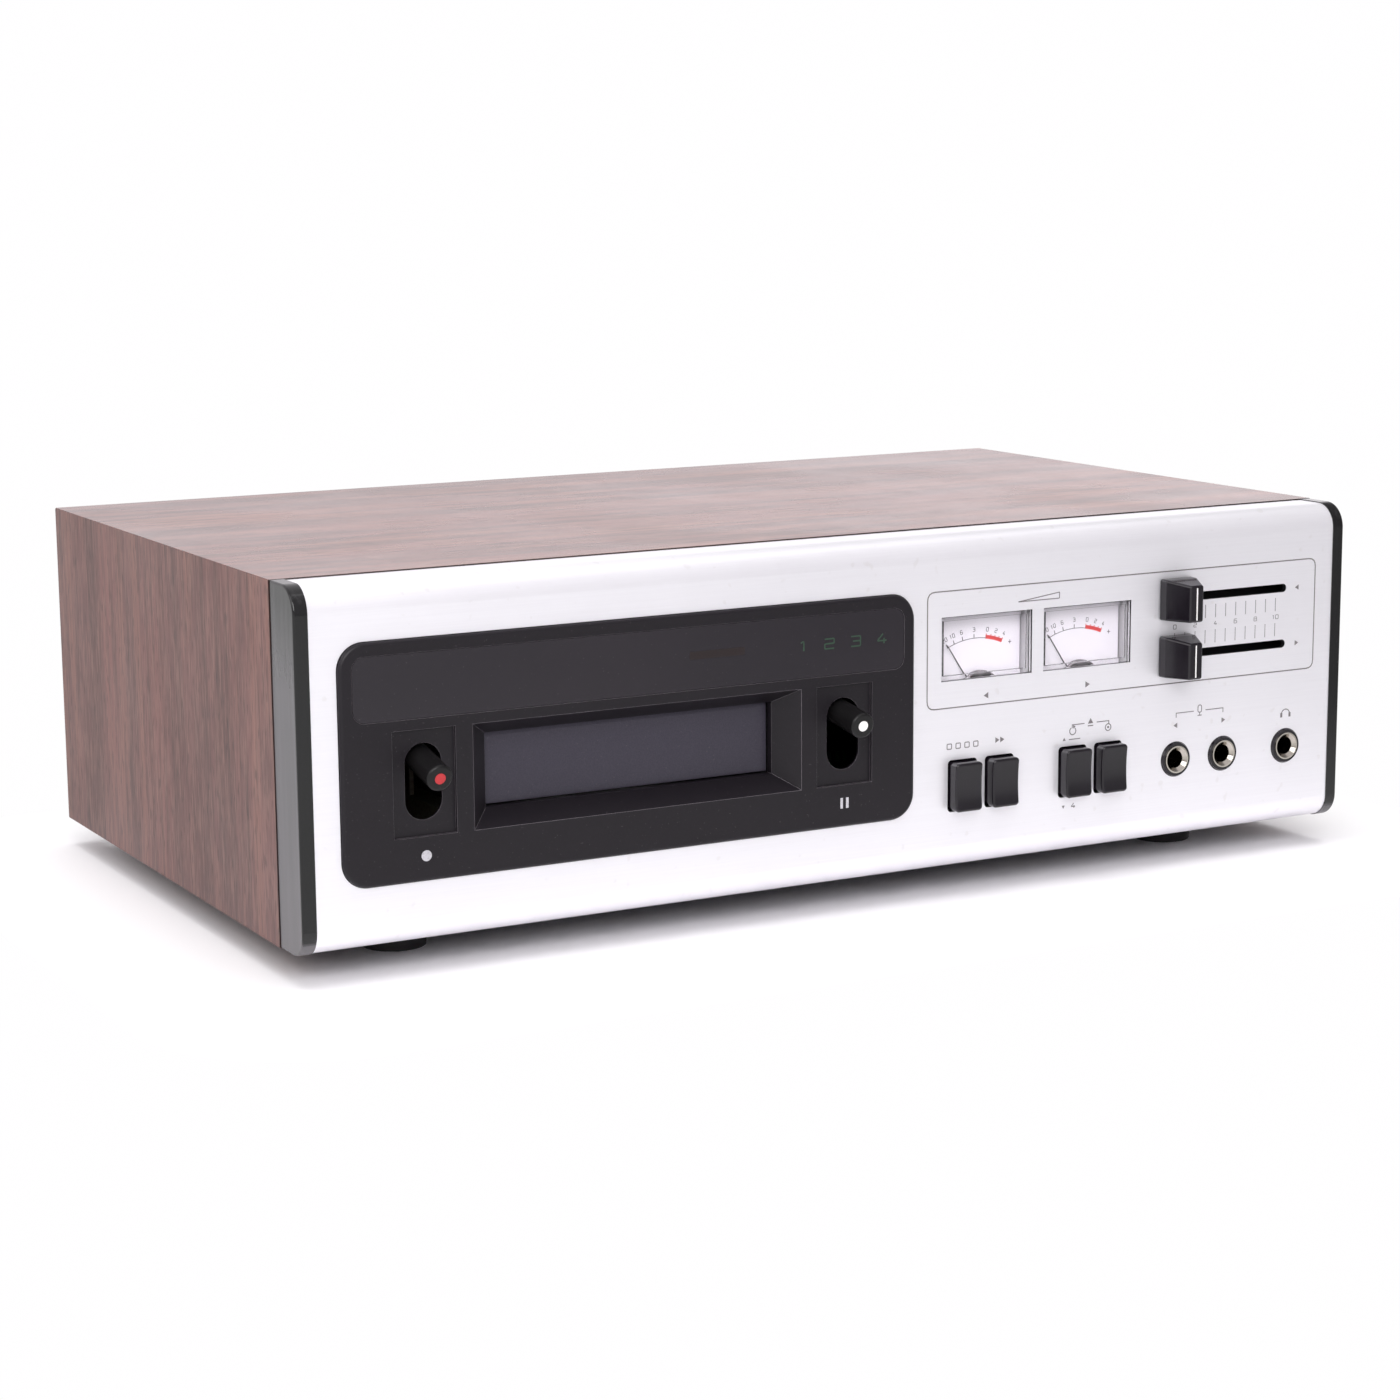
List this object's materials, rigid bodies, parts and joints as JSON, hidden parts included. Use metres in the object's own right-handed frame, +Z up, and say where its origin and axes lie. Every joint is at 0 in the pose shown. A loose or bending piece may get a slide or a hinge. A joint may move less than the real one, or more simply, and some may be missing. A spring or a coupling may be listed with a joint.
{
  "type": "cartridge tape record deck",
  "caption": "Tape cartridge record deck: walnut sleeve, satin aluminium front, cartridge door, levers, level meters, sliders, push buttons and jacks.",
  "frame": {"origin": "under the middle of the deck, on the surface its feet stand on", "axes": "+X to the right of someone facing the deck, +Y to the rear, +Z up"},
  "size_m": [0.406, 0.2522, 0.1264],
  "materials": {
    "walnut": "satin veneer",
    "pine": "raw",
    "rubber": "matt",
    "chassis_steel": "zinc plated",
    "screw_steel": "black oxide",
    "black_steel": "matt black",
    "nickel": "bright nickel",
    "meter_black": "satin",
    "silver_panel": "fine satin, clear anodised",
    "black_gloss": "polished",
    "bezel_plastic": "fine texture",
    "smoked_acrylic": "polished",
    "lamp_holder": "matt",
    "guide_steel": "satin black",
    "door_plastic": "fine texture",
    "steel_pin": "ground",
    "red_dot": "gloss",
    "white_dot": "gloss",
    "clear_lens": "clear, polished",
    "dial_white": "matt white",
    "needle_black": "matt black",
    "switch_plastic": "moulded",
    "frame_steel": "yellow passivated",
    "flywheel_zinc": "turned",
    "bearing_bronze": "turned",
    "motor_steel": "satin",
    "belt_rubber": "matt",
    "head_metal": "ground",
    "circuit_board": "satin",
    "transformer_steel": "varnished"
  },
  "bodies": {
    "deck": {"top_board": "walnut", "left_side_board": "walnut", "right_side_board": "walnut", "sleeve_battens": "pine", "rubber_feet": "rubber", "bottom_plate": "chassis_steel", "case_screws": "screw_steel", "rear_panel": "black_steel", "line_sockets": "nickel", "mains_gland": "meter_black", "front_panel": "silver_panel", "left_end_cap": "black_gloss", "right_end_cap": "black_gloss", "sub_panel": "chassis_steel", "deck_bezel": "bezel_plastic", "header_window": "smoked_acrylic", "indicator_lamps": "lamp_holder", "cartridge_guide": "guide_steel", "door_pin": "steel_pin", "record_pivot": "steel_pin", "pause_pivot": "steel_pin", "left_meter_lens": "clear_lens", "left_meter_case": "meter_black", "left_meter_dial": "dial_white", "right_meter_lens": "clear_lens", "right_meter_case": "meter_black", "right_meter_dial": "dial_white", "left_slider_pot": "chassis_steel", "right_slider_pot": "chassis_steel", "program_switch_bank": "switch_plastic", "eject_switch_bank": "switch_plastic", "left_mic_jack": "nickel", "right_mic_jack": "nickel", "phones_jack": "nickel", "jack_ring_nuts": "black_gloss", "transport_frame": "frame_steel", "capstan_bearing": "bearing_bronze", "motor": "motor_steel", "drive_belt": "belt_rubber", "main_board": "circuit_board", "power_transformer": "transformer_steel"},
    "door": {"cartridge_door": "door_plastic"},
    "record_lever": {"record_lever": "black_gloss", "record_lever_dot": "red_dot"},
    "pause_lever": {"pause_lever": "black_gloss", "pause_lever_dot": "white_dot"},
    "left_needle": {"left_meter_needle": "needle_black"},
    "right_needle": {"right_meter_needle": "needle_black"},
    "left_slider": {"left_slider_knob": "black_gloss", "left_slider_tang": "steel_pin"},
    "right_slider": {"right_slider_knob": "black_gloss", "right_slider_tang": "steel_pin"},
    "program_key": {"program_button": "black_gloss"},
    "fast_forward_key": {"fast_forward_button": "black_gloss"},
    "auto_eject_key": {"auto_eject_button": "black_gloss"},
    "manual_eject_key": {"manual_eject_button": "black_gloss"},
    "flywheel": {"flywheel": "flywheel_zinc"},
    "pulley": {"motor_pulley": "bearing_bronze"},
    "head": {"tape_head": "head_metal"}
  },
  "joints": [
    {"name": "door_hinge", "type": "hinge", "parent": "deck", "child": "door", "pos_m": [-0.0854, -0.09961, 0.0769], "axis": [1, 0, 0], "range_deg": [0, 90], "stiffness_Nm_per_rad": 0.006, "springref_deg": -22.92},
    {"name": "record_lever_swing", "type": "hinge", "parent": "deck", "child": "record_lever", "pos_m": [-0.1614, -0.05895, 0.0809], "axis": [1, 0, 0], "range_deg": [0, 12]},
    {"name": "pause_lever_swing", "type": "hinge", "parent": "deck", "child": "pause_lever", "pos_m": [-0.0094, -0.05805, 0.07774], "axis": [1, 0, 0], "range_deg": [0, 12]},
    {"name": "left_needle_swing", "type": "hinge", "parent": "deck", "child": "left_needle", "pos_m": [0.0483, -0.10471, 0.0689], "axis": [0, 1, 0], "range_deg": [0, 66], "stiffness_Nm_per_rad": 0.00002, "springref_deg": -17.19},
    {"name": "right_needle_swing", "type": "hinge", "parent": "deck", "child": "right_needle", "pos_m": [0.0901, -0.10471, 0.0689], "axis": [0, 1, 0], "range_deg": [0, 66], "stiffness_Nm_per_rad": 0.00002, "springref_deg": -17.19},
    {"name": "left_slider_slide", "type": "slide", "parent": "deck", "child": "left_slider", "axis": [1, 0, 0], "range_m": [0, 0.04475]},
    {"name": "right_slider_slide", "type": "slide", "parent": "deck", "child": "right_slider", "axis": [1, 0, 0], "range_m": [0, 0.04475]},
    {"name": "program_press", "type": "slide", "parent": "deck", "child": "program_key", "axis": [0, 1, 0], "range_m": [0, 0.0035], "stiffness_N_per_m": 250, "springref_m": -0.002},
    {"name": "fast_forward_press", "type": "slide", "parent": "deck", "child": "fast_forward_key", "axis": [0, 1, 0], "range_m": [0, 0.0035], "stiffness_N_per_m": 250, "springref_m": -0.002},
    {"name": "auto_eject_press", "type": "slide", "parent": "deck", "child": "auto_eject_key", "axis": [0, 1, 0], "range_m": [0, 0.0035], "stiffness_N_per_m": 250, "springref_m": -0.002},
    {"name": "manual_eject_press", "type": "slide", "parent": "deck", "child": "manual_eject_key", "axis": [0, 1, 0], "range_m": [0, 0.0035], "stiffness_N_per_m": 250, "springref_m": -0.002},
    {"name": "flywheel_spin", "type": "hinge", "parent": "deck", "child": "flywheel", "pos_m": [-0.0574, -0.01481, 0.022], "axis": [0, 0, 1], "continuous": true},
    {"name": "pulley_spin", "type": "hinge", "parent": "deck", "child": "pulley", "pos_m": [-0.1124, 0.04019, 0.022], "axis": [0, 0, 1], "continuous": true},
    {"name": "head_step", "type": "slide", "parent": "deck", "child": "head", "axis": [0, 0, 1], "range_m": [0, 0.0024]}
  ],
  "couplings": [
    {"joint": "pulley_spin", "follows": "flywheel_spin", "ratio": 5}
  ]
}
